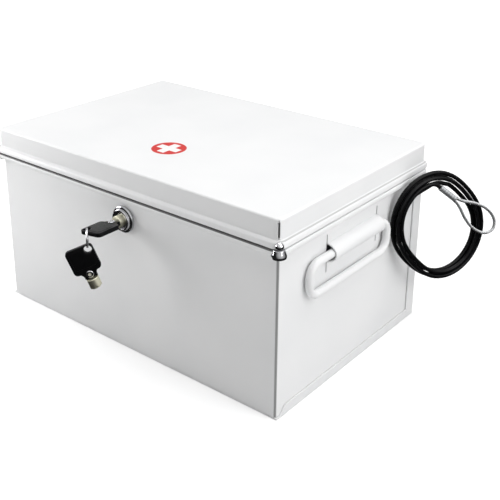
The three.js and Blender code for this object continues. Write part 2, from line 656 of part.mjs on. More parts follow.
const stopX = halfWidth - sheet - seat - grommet.lip - seat - stop.length;
const leadPoints = () => {
  const end = coilStart.clone().addScaledVector(backWay, seat);
  return [
    new THREE.Vector3(stopX + stop.length + seat, grommetY, grommet.z),
    new THREE.Vector3(halfWidth, grommetY, grommet.z),
    new THREE.Vector3(halfWidth + 3, grommetY, grommet.z),
    coilPoint(-11.5, 32, -9.4),
    coilPoint(-3, 37, -6),
    end.clone().addScaledVector(backWay, 2 * cable.radius),
    end,
  ];
};
place(group, "cable_lead", bar(leadPoints(), cable.radius, 8, 12), blackVinyl);

const cableStop = () => turned([
  [0, stopX], [stop.radius - stop.edge, stopX], [stop.radius, stopX + stop.edge],
  [stop.radius, stopX + stop.length - stop.edge], [stop.radius - stop.edge, stopX + stop.length],
  [0, stopX + stop.length],
], "x", 16).translate([0, grommetY, grommet.z]);
place(group, "cable_stop", cableStop(), plated);

const cableGrommet = () => {
  const bore = cable.radius + seat;
  const outX = halfWidth + seat;
  const inX = halfWidth - sheet - seat;
  return turned([
    [bore, inX - grommet.lip], [grommet.flange - 0.6, inX - grommet.lip], [grommet.flange, inX - 0.6],
    [grommet.flange, inX], [grommet.hole, inX], [grommet.hole, outX], [grommet.flange, outX],
    [grommet.flange, outX + 0.6], [grommet.flange - 0.6, outX + grommet.lip], [bore, outX + grommet.lip],
    [bore, inX - grommet.lip],
  ], "x", 20).translate([0, grommetY, grommet.z]);
};
place(group, "cable_grommet", cableGrommet(), blackRubber);

const cableFerrule = () => {
  const geometry = new THREE.LatheGeometry([
    [0, 0], [ferrule.radius - 0.6, 0], [ferrule.radius, 0.7], [ferrule.radius, ferrule.length - 0.7],
    [ferrule.radius - 0.6, ferrule.length], [0, ferrule.length],
  ].map(([r, h]) => new THREE.Vector2(r, h)), 16);
  geometry.applyQuaternion(new THREE.Quaternion().setFromUnitVectors(new THREE.Vector3(0, 1, 0), ferruleWay));
  geometry.translate(...ferruleStart.toArray());
  return toSolid(geometry);
};
place(group, "cable_ferrule", cableFerrule(), plated);

const cableEye = () => {
  const side = new THREE.Vector3().crossVectors(ferruleWay, coilOut).normalize();
  const base = ferruleStart.clone().addScaledVector(ferruleWay, ferrule.length + seat);
  const half = eye.width / 2;
  const spread = [[0, 0.16], [0.05, 0.16], [0.16, 0.3], [0.36, 0.72], [0.58, 1], [0.78, 0.96], [0.93, 0.62], [1, 0]];
  const at = ([s, t], sign) => base.clone().addScaledVector(ferruleWay, s * eye.length)
    .addScaledVector(side, sign * t * half);
  const points = [...spread.map((p) => at(p, 1)), ...spread.slice(0, -1).reverse().map((p) => at(p, -1))];
  return bar(points, eye.wire, 8, 44);
};
place(group, "cable_eye", cableEye(), wireRope);

export default group;
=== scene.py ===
import json
import math

import bmesh
import bpy
from mathutils import Matrix, Quaternion, Vector


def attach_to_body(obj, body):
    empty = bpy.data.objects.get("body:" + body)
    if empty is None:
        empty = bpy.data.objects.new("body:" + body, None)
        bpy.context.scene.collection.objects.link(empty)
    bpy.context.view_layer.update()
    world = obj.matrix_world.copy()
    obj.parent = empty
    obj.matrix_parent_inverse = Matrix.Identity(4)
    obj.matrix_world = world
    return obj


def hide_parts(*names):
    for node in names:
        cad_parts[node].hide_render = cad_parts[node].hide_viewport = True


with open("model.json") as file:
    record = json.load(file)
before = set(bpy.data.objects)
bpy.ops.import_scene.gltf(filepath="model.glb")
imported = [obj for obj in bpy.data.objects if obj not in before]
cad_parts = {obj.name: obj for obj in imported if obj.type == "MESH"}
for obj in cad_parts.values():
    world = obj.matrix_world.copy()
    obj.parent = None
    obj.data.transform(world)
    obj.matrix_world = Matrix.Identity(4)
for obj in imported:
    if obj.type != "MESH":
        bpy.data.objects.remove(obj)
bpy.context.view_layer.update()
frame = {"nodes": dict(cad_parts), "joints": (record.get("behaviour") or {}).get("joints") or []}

bl_info = {
    "name": "Lockable Steel Box",
    "version": (1, 0, 0),
    "blender": (4, 5, 0),
    "location": "View3D > Sidebar > Steel Box",
    "description": "Dresses the packed model of a lockable steel box and sets its stage",
    "category": "Add Mesh",
}

PIVOTS = {joint["name"]: joint["pos_m"] for joint in frame["joints"] if "pos_m" in joint}
MM_PER_M = 1000
SEAT = 0.0003  # the gap between pieces that meet
UP = Vector((0, 0, 1))


# Shader helpers


def pairing(operation, swapped=False):
    """A method that adds a node for the value and another number."""

    def method(self, other):
        return self.tree.math(operation, *((other, self) if swapped else (self, other)))

    return method


class Value:
    """One number in a node tree, with arithmetic that adds nodes."""

    __add__ = pairing("ADD")
    __radd__ = pairing("ADD", swapped=True)
    __sub__ = pairing("SUBTRACT")
    __rsub__ = pairing("SUBTRACT", swapped=True)
    __mul__ = pairing("MULTIPLY")
    __rmul__ = pairing("MULTIPLY", swapped=True)
    __truediv__ = pairing("DIVIDE")
    __rtruediv__ = pairing("DIVIDE", swapped=True)
    smaller = pairing("MINIMUM")
    larger = pairing("MAXIMUM")

    def __init__(self, tree, socket):
        self.tree = tree
        self.socket = socket

    def absolute(self):
        return self.tree.math("ABSOLUTE", self)

    def root(self):
        return self.tree.math("SQRT", self)

    def below(self, edge, softness):
        """1 where the number is under the edge, 0 over it, with a soft step."""
        return self.tree.math("MULTIPLY_ADD", self, -1.0 / softness, edge / softness + 0.5, clamp=True)

    def above(self, edge, softness):
        """0 where the number is under the edge, 1 over it, with a soft step."""
        return self.tree.math("MULTIPLY_ADD", self, 1.0 / softness, 0.5 - edge / softness, clamp=True)


class Tree:
    """A node tree whose nodes and arithmetic are written as calls."""

    def __init__(self, tree):
        self.nodes = tree.nodes
        self.links = tree.links

    def node(self, kind, settings=None, **inputs):
        """Adds a node; its inputs are given by name, with an underscore for a space."""
        made = self.nodes.new(kind)
        for key, setting in (settings or {}).items():
            setattr(made, key, setting)
        for key, given in inputs.items():
            self.feed(made.inputs[key.replace("_", " ")], given)
        return made

    def feed(self, socket, given):
        if isinstance(given, Value):
            self.links.new(given.socket, socket)
        elif isinstance(given, bpy.types.NodeSocket):
            self.links.new(given, socket)
        else:
            socket.default_value = given

    def math(self, operation, *numbers, clamp=False):
        made = self.node("ShaderNodeMath", {"operation": operation, "use_clamp": clamp})
        for socket, number in zip(made.inputs, numbers):
            self.feed(socket, number)
        return Value(self, made.outputs[0])

    def coordinates(self, kind):
        """The three coordinates of one kind as numbers."""
        source = self.node("ShaderNodeTexCoord").outputs[kind]
        parts = self.node("ShaderNodeSeparateXYZ", Vector=source)
        return [Value(self, parts.outputs[axis]) for axis in "XYZ"]


class Shader(Tree):
    """A material whose principled shader's constants are set on its own sockets."""

    def __init__(self, name, color, **constants):
        self.material = bpy.data.materials.new(name)
        self.material.use_nodes = True
        super().__init__(self.material.node_tree)
        self.surface = self.nodes["Principled BSDF"].inputs
        self.surface["Base Color"].default_value = (*color, 1.0)
        for key, number in constants.items():
            self.surface[key.replace("_", " ")].default_value = number
        self.material.diffuse_color = (*color, 1.0)

    def noise(self, scale, detail=2.0, stretch=None):
        coordinates = self.node("ShaderNodeTexCoord").outputs["Object"]
        if stretch:
            scaled = self.node("ShaderNodeVectorMath", {"operation": "MULTIPLY"})
            self.feed(scaled.inputs[0], coordinates)
            scaled.inputs[1].default_value = stretch
            coordinates = scaled.outputs[0]
        made = self.node("ShaderNodeTexNoise", Vector=coordinates, Scale=scale, Detail=detail)
        return Value(self, made.outputs["Fac"])

    def mix(self, factor, first, second):
        """A colour between two, each of them a colour or another mix."""
        made = self.node("ShaderNodeMix", {"data_type": "RGBA"})
        self.feed(made.inputs["Factor"], factor)
        for socket, given in zip((made.inputs[6], made.inputs[7]), (first, second)):
            self.feed(socket, given if isinstance(given, bpy.types.NodeSocket) else (*given, 1.0))
        return made.outputs[2]

    def range(self, given, low, high, to_low, to_high):
        """The number, stretched so that low and high become to_low and to_high."""
        made = self.node("ShaderNodeMapRange", Value=given)
        for key, number in zip(("From Min", "From Max", "To Min", "To Max"), (low, high, to_low, to_high)):
            made.inputs[key].default_value = number
        return Value(self, made.outputs["Result"])

    def bump(self, height, distance, strength, rounding):
        """Fine relief over edges that are rounded to the given radius."""
        made = self.node("ShaderNodeBump", Height=height, Distance=distance, Strength=strength)
        rounded = self.node("ShaderNodeBevel", {"samples": 6}, Radius=rounding)
        self.feed(made.inputs["Normal"], rounded.outputs["Normal"])
        self.feed(self.surface["Normal"], made.outputs["Normal"])


class WorldShader(Tree):
    """The surroundings' light, with the background left plain white to the camera."""

    def __init__(self, name):
        self.world = bpy.data.worlds.new(name)
        self.world.use_nodes = True
        super().__init__(self.world.node_tree)

    def slope(self, level, ways):
        """A level that changes with the direction, by so much along each axis."""
        total = level
        for part, way in zip(self.coordinates("Generated"), ways):
            total = part * way + total
        return total

    def finish(self, soft, glossy):
        """The soft level lights what is matt, the glossy one is what bright metal mirrors."""
        path = self.node("ShaderNodeLightPath")
        shown = self.nodes["Background"]
        for level, kind in ((soft, None), (glossy, "Is Glossy Ray"), (1.0, "Is Camera Ray")):
            tone = self.node("ShaderNodeCombineXYZ", X=level, Y=level, Z=level).outputs[0]
            if kind is None:
                self.feed(shown.inputs["Color"], tone)
                continue
            other = self.node("ShaderNodeBackground", Color=tone, Strength=1.0)
            mixed = self.node("ShaderNodeMixShader", Fac=path.outputs[kind])
            self.links.new(shown.outputs[0], mixed.inputs[1])
            self.links.new(other.outputs[0], mixed.inputs[2])
            shown = mixed
        self.links.new(shown.outputs[0], self.nodes["World Output"].inputs["Surface"])


class GeometryTree(Tree):
    """A geometry node group with named inputs that ends in real geometry of one material."""

    def __init__(self, name, **kinds):
        self.group = bpy.data.node_groups.new(name, "GeometryNodeTree")
        super().__init__(self.group)
        self.sockets = {}
        kinds = {"Geometry": "NodeSocketGeometry", **kinds, "Material": "NodeSocketMaterial"}
        for key, kind in kinds.items():
            socket = self.group.interface.new_socket(key, in_out="INPUT", socket_type=kind)
            self.sockets[key] = socket.identifier
        self.group.interface.new_socket("Geometry", in_out="OUTPUT", socket_type="NodeSocketGeometry")
        self.given = self.node("NodeGroupInput").outputs

    def finish(self, geometry):
        real = self.node("GeometryNodeRealizeInstances", Geometry=geometry)
        dressed = self.node(
            "GeometryNodeSetMaterial", Geometry=real.outputs[0], Material=self.given["Material"],
        )
        self.links.new(dressed.outputs[0], self.node("NodeGroupOutput").inputs[0])

    def use(self, piece, **settings):
        modifier = piece.modifiers.new(self.group.name, "NODES")
        modifier.node_group = self.group
        for key, setting in settings.items():
            modifier[self.sockets[key]] = setting
        return piece


# Materials


def painted_corner_shade(shader, under, line, tone):
    """A painted darker upright line where two panels meet: painted dark reflection along the body's rounded
    folds, painted shade inside the lid's open corner seams.
    """
    x, y, z = shader.coordinates("Object")
    corner_x, corner_y, half, low, high = line
    across = x.absolute() - corner_x
    along = y.absolute() - corner_y
    edge = (across - along).absolute().below(half, 0.0005) * (across + along).above(-0.003, 0.001)
    return shader.mix(edge * z.above(low, 0.0006) * z.below(high, 0.0006), under, (tone,) * 3)


def crease_line(shader, under, line, tone):
    """The shade in a level crease along the sides or the front."""
    x, y, z = shader.coordinates("Object")
    side_x, front_y, low, high = line
    side = x.absolute().above(side_x, 0.001).larger(y.below(front_y, 0.001))
    return shader.mix(side * z.above(low, 0.0003) * z.below(high, 0.0003), under, (tone,) * 3)


def sign_disc(shader, under, sign):
    """A disc with a plus sign."""
    x, y, _ = shader.coordinates("Object")
    x = (x - sign.x).absolute()
    y = (y - sign.y).absolute()
    disc = (x * x + y * y).root().below(sign.radius, 0.0003)
    longways = x.below(sign.arm, 0.0003) * y.below(sign.half, 0.0003)
    sideways = y.below(sign.arm, 0.0003) * x.below(sign.half, 0.0003)
    return shader.mix(disc, under, shader.mix(longways.larger(sideways), sign.red, sign.white))


def powder_coat(name, *marks):
    """Satin white paint with a faint orange peel; each mark is a function with its values, such as a painted
    shade line or the printed sign.
    """
    s = bpy.context.scene.steelbox_finish
    shader = Shader(name, s.paint, Roughness=0.38, Coat_Weight=0.15, Coat_Roughness=0.25)
    cloud = shader.range(shader.noise(14.0), 0.35, 0.65, 0.0, 1.0)
    tone = shader.mix(cloud, s.paint_dull, s.paint_clean)
    for mark, *values in marks:
        tone = mark(shader, tone, *values)
    shader.feed(shader.surface["Base Color"], tone)
    peel = shader.noise(900.0, 1.0) + shader.noise(240.0, 2.0) * 1.5
    shader.bump(peel, distance=0.00002, strength=0.5, rounding=0.0007)
    return shader.material


def polished(name, color, roughness, cloud=0.06):
    """Bright plating with slight changes in polish."""
    shader = Shader(name, color, Metallic=1.0)
    haze = shader.noise(180.0, 3.0)
    shader.feed(shader.surface["Roughness"], shader.range(haze, 0.3, 0.7, roughness, roughness + cloud))
    shader.bump(shader.noise(420.0, 2.0), distance=0.000015, strength=0.4, rounding=0.0004)
    return shader.material


def zinc(name, color, roughness=0.28, groove_shade=None):
    """Dull plated steel with a drawn grain; for rope, painted shade darkens what lies nearer its middle than
    the groove, the hollows between its strands.
    """
    shader = Shader(name, color, Metallic=1.0)
    grain = shader.noise(160.0, 4.0, (1.0, 6.0, 6.0))
    shader.feed(shader.surface["Roughness"], shader.range(grain, 0.3, 0.7, roughness, roughness + 0.18))
    tone = shader.mix(grain, [0.85 * part for part in color], [min(1.0, 1.12 * part) for part in color])
    if groove_shade:
        # Painted shade in the hollows between the rope's strands.
        reach = Value(shader, shader.node("ShaderNodeAttribute", {"attribute_name": "reach"}).outputs["Fac"])
        tone = shader.mix(reach.below(groove_shade, 0.00012), tone, (0.03,) * 3)
    shader.feed(shader.surface["Base Color"], tone)
    shader.bump(shader.noise(700.0, 2.0), distance=0.00001, strength=0.4, rounding=0.0003)
    return shader.material


def moulded(name, color, roughness, scale, depth, gloss=0.35):
    """Moulded plastic, vinyl or rubber with a fine grain."""
    shader = Shader(name, color, Specular_IOR_Level=gloss)
    grain = shader.noise(scale, 3.0)
    polish = shader.range(grain, 0.3, 0.7, roughness - 0.05, roughness + 0.07)
    shader.feed(shader.surface["Roughness"], polish)
    tone = shader.mix(grain, [0.8 * part for part in color], [1.3 * part for part in color])
    shader.feed(shader.surface["Base Color"], tone)
    shader.bump(grain, distance=depth, strength=0.5, rounding=0.0004)
    return shader.material


# Geometry trees


def folds_tree():
    """Shades shallow edges smooth and keeps the ones over the edge angle crisp."""
    tree = GeometryTree("soft_folds", Edge="NodeSocketFloat")
    joined = tree.node("GeometryNodeMergeByDistance", Geometry=tree.given["Geometry"], Distance=0.000002)
    plain = tree.node("GeometryNodeRemoveAttribute", Geometry=joined.outputs[0], Name="custom_normal")
    smooth = tree.node(
        "GeometryNodeSetShadeSmooth", {"domain": "FACE"}, Geometry=plain.outputs[0], Shade_Smooth=True,
    )
    angle = tree.node("GeometryNodeInputMeshEdgeAngle").outputs["Unsigned Angle"]
    crisp = tree.math("GREATER_THAN", angle, tree.given["Edge"])
    folded = tree.node(
        "GeometryNodeSetShadeSmooth", {"domain": "EDGE"}, Geometry=smooth.outputs[0], Selection=crisp,
        Shade_Smooth=False,
    )
    tree.finish(folded.outputs[0])
    return tree


def rope_tree():
    """Lays strands round a core along the curve, turning once in each length of lay."""
    tree = GeometryTree("wire_rope", Strand="NodeSocketFloat", Ring="NodeSocketFloat", Lay="NodeSocketFloat")
    line = tree.node(
        "GeometryNodeResampleCurve", {"mode": "LENGTH"}, Curve=tree.given["Geometry"], Length=0.0005,
    )
    along = Value(tree, tree.node("GeometryNodeSplineParameter").outputs["Length"])
    tilt = along * math.tau / Value(tree, tree.given["Lay"])
    turned = tree.node("GeometryNodeSetCurveTilt", Curve=line.outputs[0], Tilt=tilt)
    ring = tree.node("GeometryNodeCurvePrimitiveCircle", Resolution=6, Radius=tree.given["Ring"])
    strand = tree.node("GeometryNodeCurvePrimitiveCircle", Resolution=12, Radius=tree.given["Strand"])
    strands = tree.node("GeometryNodeInstanceOnPoints", Points=ring.outputs[0], Instance=strand.outputs[0])
    both = tree.node("GeometryNodeJoinGeometry")
    tree.links.new(strands.outputs[0], both.inputs[0])
    tree.links.new(strand.outputs[0], both.inputs[0])
    real = tree.node("GeometryNodeRealizeInstances", Geometry=both.outputs[0])
    reach = tree.node("ShaderNodeVectorMath", {"operation": "LENGTH"})
    tree.links.new(tree.node("GeometryNodeInputPosition").outputs[0], reach.inputs[0])
    profile = tree.node(
        "GeometryNodeStoreNamedAttribute", {"data_type": "FLOAT", "domain": "POINT"},
        Geometry=real.outputs[0], Name="reach", Value=reach.outputs["Value"],
    )
    swept = tree.node("GeometryNodeCurveToMesh", Curve=turned.outputs[0], Fill_Caps=True)
    tree.links.new(profile.outputs[0], swept.inputs[1])
    smooth = tree.node("GeometryNodeSetShadeSmooth", Geometry=swept.outputs[0], Shade_Smooth=True)
    tree.finish(smooth.outputs[0])
    return tree


def row_tree():
    """Repeats one piece in an even row between two points."""
    tree = GeometryTree(
        "row", Piece="NodeSocketObject", Count="NodeSocketInt", Start="NodeSocketVector",
        End="NodeSocketVector",
    )
    line = tree.node("GeometryNodeMeshLine", {"mode": "END_POINTS"}, Count=tree.given["Count"])
    tree.links.new(tree.given["Start"], line.inputs["Start Location"])
    tree.links.new(tree.given["End"], line.inputs[3])
    piece = tree.node("GeometryNodeObjectInfo", Object=tree.given["Piece"]).outputs["Geometry"]
    tree.finish(tree.node("GeometryNodeInstanceOnPoints", Points=line.outputs[0], Instance=piece).outputs[0])
    return tree


# Mesh helpers


def linked(name, data):
    piece = bpy.data.objects.new(name, data)
    bpy.context.scene.collection.objects.link(piece)
    return piece


def baked(name, source, turn=None):
    """The source's finished geometry as a plain mesh piece; the source itself goes."""
    shape = source.evaluated_get(bpy.context.evaluated_depsgraph_get())
    mesh = bpy.data.meshes.new_from_object(shape)
    mesh.name = name
    if turn is not None:
        mesh.transform(turn)
    bpy.data.objects.remove(source)
    return linked(name, mesh)


def smoothed(piece, degrees):
    piece.data.shade_smooth()
    piece.data.set_sharp_from_angle(angle=math.radians(degrees))
    return piece


def attach(piece, body, slot, *nodes):
    """Lets the piece ride on its body and stand for its nodes."""
    if nodes:
        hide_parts(*nodes)
    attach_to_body(piece, body)
    return piece


def dress(material, *nodes):
    """Gives carried-over nodes their material and shades their folds smooth."""
    s = bpy.context.scene.steelbox_folds
    for name in nodes:
        node = frame["nodes"][name]
        node.data.materials.clear()
        node.data.materials.append(material)
        TREES["folds"].use(node, Edge=s.edge, Material=material)
        if s.weighted:
            normals = node.modifiers.new("normals", "WEIGHTED_NORMAL")
            normals.keep_sharp = True
            normals.weight = 100


def add_line(data, points, closed):
    """Adds a run of straight spans to the curve data."""
    spline = data.splines.new("POLY")
    spline.points.add(len(points) - 1)
    spline.use_cyclic_u = closed
    for place, point in zip(spline.points, points):
        place.co = (*point, 1)
    return spline


def curve_piece(name, points, radius, material, sides=4):
    """A round bar along the points as a curve object."""
    data = bpy.data.curves.new(name, "CURVE")
    data.dimensions = "3D"
    data.bevel_depth = radius
    data.bevel_resolution = sides
    data.use_fill_caps = True
    add_line(data, points, closed=False).use_smooth = True
    data.materials.append(material)
    return linked(name, data)


def plate(name, outlines, thick, bevel, material, turn):
    """A flat plate with rounded rims and holes; its outlines lie in its own X and Z."""
    data = bpy.data.curves.new(name, "CURVE")
    data.dimensions = "2D"
    data.fill_mode = "BOTH"
    data.extrude = thick / 2 - bevel
    data.bevel_depth = bevel
    data.bevel_resolution = 3
    data.offset = -bevel
    for outline in outlines:
        add_line(data, [(x, y, 0) for x, y in outline], closed=True)
    data.materials.append(material)
    piece = baked(name, linked(name, data), turn @ Matrix.Rotation(math.pi / 2, 4, "X"))
    return smoothed(piece, 35)


def lathe(name, profile, material, turn=Matrix(), steps=72, closed=True, shape=None, degrees=40):
    """Turns radius and height pairs, in millimetres, about the piece's own Z axis."""
    work = bmesh.new()
    ring = [(radius / MM_PER_M, height / MM_PER_M) for radius, height in profile]
    rows = []
    for i in range(steps):
        angle = math.tau * i / steps
        row = []
        for radius, height in ring:
            if shape:
                radius, height = shape(radius, height, angle)
            row.append(work.verts.new((radius * math.cos(angle), radius * math.sin(angle), height)))
        rows.append(row)
    spans = len(ring) if closed else len(ring) - 1
    for i in range(steps):
        here, following = rows[i], rows[(i + 1) % steps]
        for k in range(spans):
            m = (k + 1) % len(ring)
            work.faces.new((here[k], following[k], following[m], here[m]))
    bmesh.ops.remove_doubles(work, verts=work.verts, dist=1e-7)
    bmesh.ops.recalc_face_normals(work, faces=work.faces)
    mesh = bpy.data.meshes.new(name)
    work.to_mesh(mesh)
    work.free()
    mesh.transform(turn)
    mesh.materials.append(material)
    return smoothed(linked(name, mesh), degrees)


def aimed(place, way):
    """A transform that puts the own Z axis along the given way from the given place."""
    return Matrix.Translation(place) @ Vector(way).to_track_quat("Z", "Y").to_matrix().to_4x4()


def arc(x, y, radius, start, end, steps=8):
    """Points of an arc whose angles are in degrees."""
    angles = [math.radians(start + (end - start) * i / steps) for i in range(steps + 1)]
    return [(x + radius * math.cos(a), y + radius * math.sin(a)) for a in angles]


def catmull(points, per_span):
    """Centripetal interpolation through the points, as the solids' routes have it."""
    knots = [0.0]
    for a, b in zip(points, points[1:]):
        knots.append(knots[-1] + math.sqrt((b - a).length))
    padded = [points[0] * 2 - points[1], *points, points[-1] * 2 - points[-2]]
    times = [knots[0] - (knots[1] - knots[0]), *knots, knots[-1] + (knots[-1] - knots[-2])]
    made = []
    for i in range(len(points) - 1):
        p = padded[i:i + 4]
        t = times[i:i + 4]
        for step in range(per_span):
            u = t[1] + (t[2] - t[1]) * step / per_span
            a = [((t[k + 1] - u) * p[k] + (u - t[k]) * p[k + 1]) / (t[k + 1] - t[k]) for k in range(3)]
            b = [((t[k + 2] - u) * a[k] + (u - t[k]) * a[k + 1]) / (t[k + 2] - t[k]) for k in range(2)]
            made.append(((t[2] - u) * b[0] + (u - t[1]) * b[1]) / (t[2] - t[1]))
    made.append(points[-1])
    return made


# Settings


def amount(name, about, default, unit="NONE"):
    return bpy.props.FloatProperty(name=name, description=about, default=default, precision=5, unit=unit)


def metres(name, about, default):
    return amount(name, about, default, "LENGTH")


def metre_row(name, about, default):
    return bpy.props.FloatVectorProperty(
        name=name, description=about, default=default, size=len(default), precision=5, unit="LENGTH",
    )


def slant(name, about, degrees):
    default = math.radians(degrees)
    return bpy.props.FloatProperty(name=name, description=about, default=default, subtype="ANGLE")


def whole(name, about, default):
    return bpy.props.IntProperty(name=name, description=about, default=default, min=1)


def colour(name, about, default):
    return bpy.props.FloatVectorProperty(
        name=name, description=about, default=default, min=0, max=1, subtype="COLOR",
    )


class CameraSettings(bpy.types.PropertyGroup):
    place: metre_row("Place", "Where the camera stands", (0.4756, -0.5412, 0.4062))
    azimuth: slant("Azimuth", "Way round from the front to the right", 38.50)
    elevation: slant("Elevation", "How steeply the camera looks down", 19.83)
    roll: slant("Roll", "Turn about the line of sight", 0.48)
    lens: amount("Lens", "Focal length for a sensor 36 mm wide", 64.65, "CAMERA")
    shift_y: amount("Shift", "Shift of the picture, in picture widths", -0.20)


class FoldSettings(bpy.types.PropertyGroup):
    edge: slant("Crisp Edge", "Edges that turn by more than this stay crisp", 50)
    weighted: bpy.props.BoolProperty(
        name="Weighted Normals", description="Lets large faces lead the shading at folds", default=True,
    )


class FinishSettings(bpy.types.PropertyGroup):
    paint: colour("Paint", "The powder coat's mean, for plain views", (0.83, 0.835, 0.84))
    paint_dull: colour("Dull Paint", "The powder coat's darker clouds", (0.82, 0.825, 0.83))
    paint_clean: colour("Clean Paint", "The powder coat's lighter clouds", (0.85, 0.852, 0.855))
    zinc: colour("Zinc", "Plated steel", (0.56, 0.57, 0.58))
    crimped: colour("Crimped Zinc", "The cable's pressed sleeve", (0.5, 0.51, 0.52))
    rope: colour("Wire Rope", "The cable's bare eye", (0.8, 0.81, 0.82))
    chrome: colour("Chrome", "The lock", (0.56, 0.56, 0.58))
    cap_chrome: colour("Cap Chrome", "The corner caps", (0.6, 0.6, 0.62))
    bright_wire: colour("Bright Wire", "The key ring and the keys' eyelets", (0.66, 0.66, 0.68))
    nickel: colour("Nickel", "The keys' tubes", (0.8, 0.78, 0.62))
    vinyl: colour("Vinyl", "The cable's jacket", (0.003, 0.003, 0.0035))
    plastic: colour("Plastic", "The keys' heads", (0.003, 0.003, 0.0035))
    rubber: colour("Rubber", "The cable's grommet", (0.02, 0.02, 0.02))


class SignSettings(bpy.types.PropertyGroup):
    x: metres("X", "The disc's middle across the lid", -0.0024)
    y: metres("Y", "The disc's middle along the lid", -0.0458)
    radius: metres("Radius", "The disc's radius", 0.0144)
    arm: metres("Arm", "Half the width of the plus sign's strokes", 0.0036)
    half: metres("Half", "Half the length of the plus sign's strokes", 0.0107)
    red: colour("Red", "The disc", (0.62, 0.035, 0.03))
    white: colour("White", "The plus sign", (0.88, 0.87, 0.86))


LINE = "The corners' x and y, half the line's width, and its lowest and highest place"
CREASE = "The x and y that the shade starts beyond, and its lowest and highest place"


class PaintSettings(bpy.types.PropertyGroup):
    # Painted dark reflection along the body's rounded upright folds; the tone says how light it is.
    fold: metre_row("Body Folds", LINE, (0.150, 0.100, 0.0013, 0.0, 0.1315))
    fold_shade_tone: amount("Body Folds' Tone", "How light the line is", 0.3)
    # Painted shade inside the lid's open corner seams; the tone says how light it is.
    seam: metre_row("Lid Seams", LINE, (0.152, 0.102, 0.0006, 0.1448, 0.1592))
    seam_shade_tone: amount("Lid Seams' Tone", "How light the line is", 0.06)
    bead_crease: metre_row("Bead Crease", CREASE, (0.2, -0.0995, 0.1370, 0.1390))
    bead_tone: amount("Bead Crease's Tone", "How light the shade is", 0.12)
    rim_crease: metre_row("Rim Crease", CREASE, (0.1513, -0.2, 0.1435, 0.1442))
    rim_tone: amount("Rim Crease's Tone", "How light the shade is", 0.5)


class CableSettings(bpy.types.PropertyGroup):
    radius: metres("Radius", "Half the thickness over the jacket", 0.0018)
    anchor: metre_row("Anchor", "The cable's start at its stop", (0.1471, 0.082, 0.119))
    centre: metre_row("Coil's Middle", "The middle of the coil", (0.1725, 0.0937, 0.0925))
    turn: slant("Coil's Turn", "How far the coil's plane stands off the side panel", 20)
    outer: metres("Coil's Radius", "Radius of the outermost winding", 0.0482)
    oval: metres("Oval", "How much the coil sags out of round", 0.007)
    pitch: metres("Pitch", "From one winding to the next", 0.0043)
    turns: amount("Turns", "Windings in the coil", 3.86)
    start: slant("Start", "Where on the coil the cable comes in", 75)
    steps: whole("Steps", "Points in each winding", 24)
    inward: amount("Inward", "How much the lead comes from inside and behind", 0.35)
    ferrule: metres("Ferrule", "The sleeve's length", 0.0175)
    eye_length: metres("Eye's Length", "From the sleeve to the eye's tip", 0.0457)
    eye_width: metres("Eye's Width", "Across the eye", 0.0196)
    strand: metres("Strand", "A strand's radius", 0.00044)
    ring: metres("Strand Ring", "From the rope's middle to a strand's middle", 0.00086)
    lay: metres("Lay", "The rope's length in which a strand turns once", 0.0142)


class BailSettings(bpy.types.PropertyGroup):
    pivot: metre_row("Pivot", "Where the right bail's stubs turn", PIVOTS["bail_right_swing"])
    near: metres("Near End", "The bail's front end", -0.0670)
    far: metres("Far End", "The bail's back end", 0.0398)
    low: metres("Low", "Height of the hanging grip", 0.0869)
    bend: metres("Bend", "Radius of the bends", 0.0105)
    stub: metres("Stub", "How far each stub reaches along the tunnel", 0.050)
    rod: metres("Rod", "The rod's radius", 0.00325)


class LockSettings(bpy.types.PropertyGroup):
    place: metre_row("Place", "Where the lock's axis meets the front panel", PIVOTS["lock_turn"])
    thread: metres("Thread", "Pitch of the barrel's thread", 0.001)


class KeySettings(bpy.types.PropertyGroup):
    reach: metres("Reach", "From the front panel to the first head's middle", 0.0255)
    roll: slant("Roll", "Turn of the first key in the lock", 8)
    hang: slant("Hang", "Lean of the second key by its centre of mass", 21)
    head: metres("Head", "Width of the head", 0.022)
    corner: metres("Corner", "Radius of the head's corners", 0.0032)
    thick: metres("Thickness", "The head's thickness at its panel", 0.0038)
    neck: metres("Neck", "Length of the head's neck", 0.0052)
    hole: metres("Ring Hole", "The hole's radius", 0.0031)
    hole_across: metres("Hole Across", "The hole's place across the head", 0.0069)
    hole_along: metres("Hole Along", "The hole's place along the head", 0.007)
    tube: metres("Tube", "The tube's radius", 0.00475)
    wall: metres("Wall", "The tube's wall", 0.00105)
    length: metres("Length", "The tube's length", 0.008)
    ring_turn: slant("Ring's Turn", "Turn of the ring's plane about the upright", -42.7)
    ring_radius: metres("Ring's Radius", "To the middle of its wire", 0.0072)
    ring_wire: metres("Ring's Wire", "Half the thickness of its two windings", 0.0008)
    ring_reach: metres("Ring's Reach", "From the first hole along the ring's plane", 0.0067)
    ring_drop: metres("Ring's Drop", "From the first hole down to the ring's middle", 0.0026)
    ring_turns: amount("Ring's Windings", "Windings of the split ring", 1.96)


class HingeSettings(bpy.types.PropertyGroup):
    rivets: whole("Rivets", "Rivets in each leaf", 5)
    reach: metres("Reach", "From the middle to the last rivet", 0.104)
    body_place: metre_row("Body Row", "The middle rivet on the body's leaf", (0, 0.1015, 0.1215))
    lid_place: metre_row("Lid Row", "The middle rivet on the lid's leaf", (0, 0.1035, 0.1500))


class StageSettings(bpy.types.PropertyGroup):
    aim: metre_row("Aim", "Where the lamps point", (0, 0, 0.08))
    right: amount("Right Lamp", "The lamp's light", 12.2, "POWER")
    top: amount("Top Lamp", "The lamp's light", 34.0, "POWER")
    left: amount("Left Lamp", "The lamp's light", 2.45, "POWER")
    floor_tone: colour("Floor's Tone", "The floor's own colour", (0.8, 0.8, 0.8))
    glow: amount("Glow", "What the camera sees added to the floor's tone", 0.6)


# Lamps by place and size

LAMPS = {
    "right": ((1.5, 0.1, 0.9), 1.2),
    "top": ((0.0, 0.3, 1.9), 2.4),
    "left": ((-0.55, -0.35, 0.25), 0.3),
}


# Operators


class BoxOperator(bpy.types.Operator):
    bl_options = {"REGISTER", "UNDO"}


